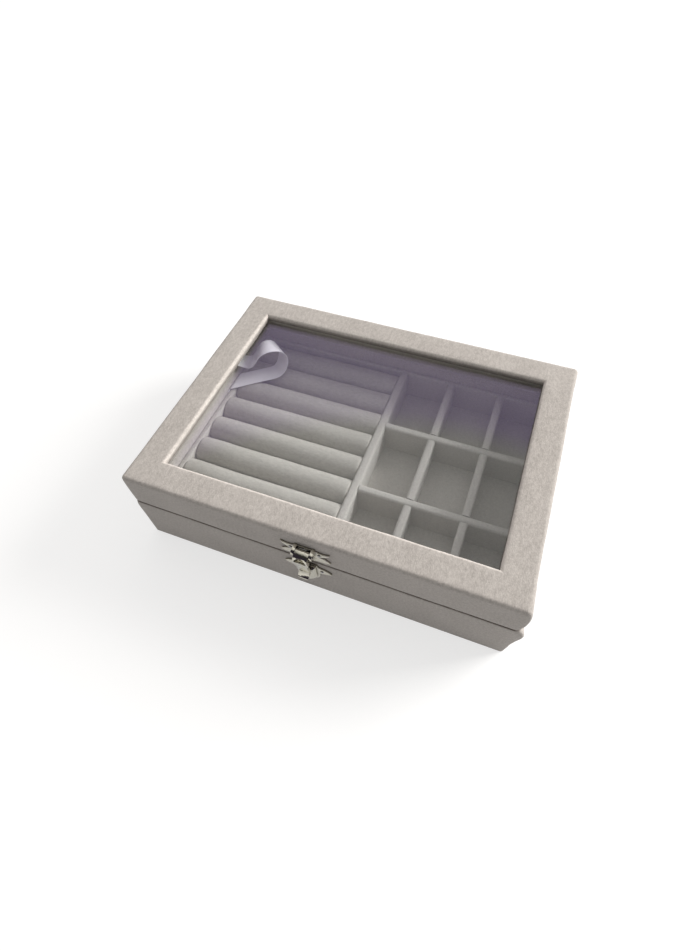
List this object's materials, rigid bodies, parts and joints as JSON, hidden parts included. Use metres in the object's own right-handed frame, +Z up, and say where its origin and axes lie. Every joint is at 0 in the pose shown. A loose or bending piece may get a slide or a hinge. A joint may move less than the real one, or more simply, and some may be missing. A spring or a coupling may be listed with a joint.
{
  "type": "ring display box",
  "caption": "Low rectangular velvet box with a hinged glazed lid, front latch, padded ring rolls on the left and open cells on the right.",
  "frame": {"origin": "middle of the flat underside, under the middle of the box without its latch and hinges", "axes": "+X right along the front edge, +Y from the latch to the hinges, +Z up"},
  "size_m": [0.2, 0.1605, 0.053],
  "materials": {
    "outer_velvet": "short-pile velvet, warm light grey",
    "tray_velvet": "short-pile velvet, mid grey",
    "divider_velvet": "short-pile velvet, mid grey",
    "roll_velvet": "short-pile velvet over foam",
    "satin_ribbon": "smooth satin, pale lilac",
    "window_glass": "clear float glass",
    "latch_nickel": "nickel-plated casting",
    "hinge_nickel": "nickel-plated sheet",
    "steel_pins": "bright wire and nails",
    "case_board": "raw fibreboard",
    "grey_card": "raw greyboard"
  },
  "bodies": {
    "base": {"base_back_board": "case_board", "base_bottom_board": "case_board", "base_front_board": "case_board", "base_left_board": "case_board", "base_right_board": "case_board", "base_velvet_cover": "outer_velvet", "cross_divider_1": "divider_velvet", "cross_divider_2": "divider_velvet", "hinge_base_leaf_left": "hinge_nickel", "hinge_base_leaf_right": "hinge_nickel", "hinge_base_nails": "steel_pins", "hinge_pin_left": "steel_pins", "hinge_pin_right": "steel_pins", "latch_base_nails": "steel_pins", "latch_base_plate": "latch_nickel", "lid_ribbon": "satin_ribbon", "long_divider_1": "divider_velvet", "long_divider_2": "divider_velvet", "ring_bay_board": "tray_velvet", "ring_bay_divider": "divider_velvet", "ring_roll_1": "roll_velvet", "ring_roll_2": "roll_velvet", "ring_roll_3": "roll_velvet", "ring_roll_4": "roll_velvet", "ring_roll_5": "roll_velvet", "ring_roll_6": "roll_velvet", "ring_roll_7": "roll_velvet", "ring_roll_8": "roll_velvet", "tray_back_wall": "tray_velvet", "tray_floor": "tray_velvet", "tray_front_wall": "tray_velvet", "tray_left_wall": "tray_velvet", "tray_right_wall": "tray_velvet", "underside_sheet": "outer_velvet"},
    "lid": {"glass_pane": "window_glass", "glass_spacer_back": "grey_card", "glass_spacer_front": "grey_card", "glass_spacer_left": "grey_card", "glass_spacer_right": "grey_card", "hinge_lid_leaf_left": "hinge_nickel", "hinge_lid_leaf_right": "hinge_nickel", "hinge_lid_nails": "steel_pins", "latch_lid_nails": "steel_pins", "latch_lid_plate": "latch_nickel", "latch_pin": "steel_pins", "lid_back_board": "case_board", "lid_front_board": "case_board", "lid_left_board": "case_board", "lid_lining_back": "tray_velvet", "lid_lining_front": "tray_velvet", "lid_lining_left": "tray_velvet", "lid_lining_right": "tray_velvet", "lid_right_board": "case_board", "lid_velvet_cover": "outer_velvet", "window_border_back": "case_board", "window_border_front": "case_board", "window_border_left": "case_board", "window_border_right": "case_board"},
    "latch_lever": {"latch_lever": "latch_nickel"}
  },
  "joints": [
    {"name": "lid_hinge", "type": "hinge", "parent": "base", "child": "lid", "pos_m": [0, 0.0766, 0.03135], "axis": [-1, 0, 0], "range_deg": [0, 100], "deforming": ["lid_ribbon"]},
    {"name": "latch_pivot", "type": "hinge", "parent": "lid", "child": "latch_lever", "pos_m": [-0.0016, -0.0783, 0.044], "axis": [-1, 0, 0], "range_deg": [0, 100]}
  ]
}
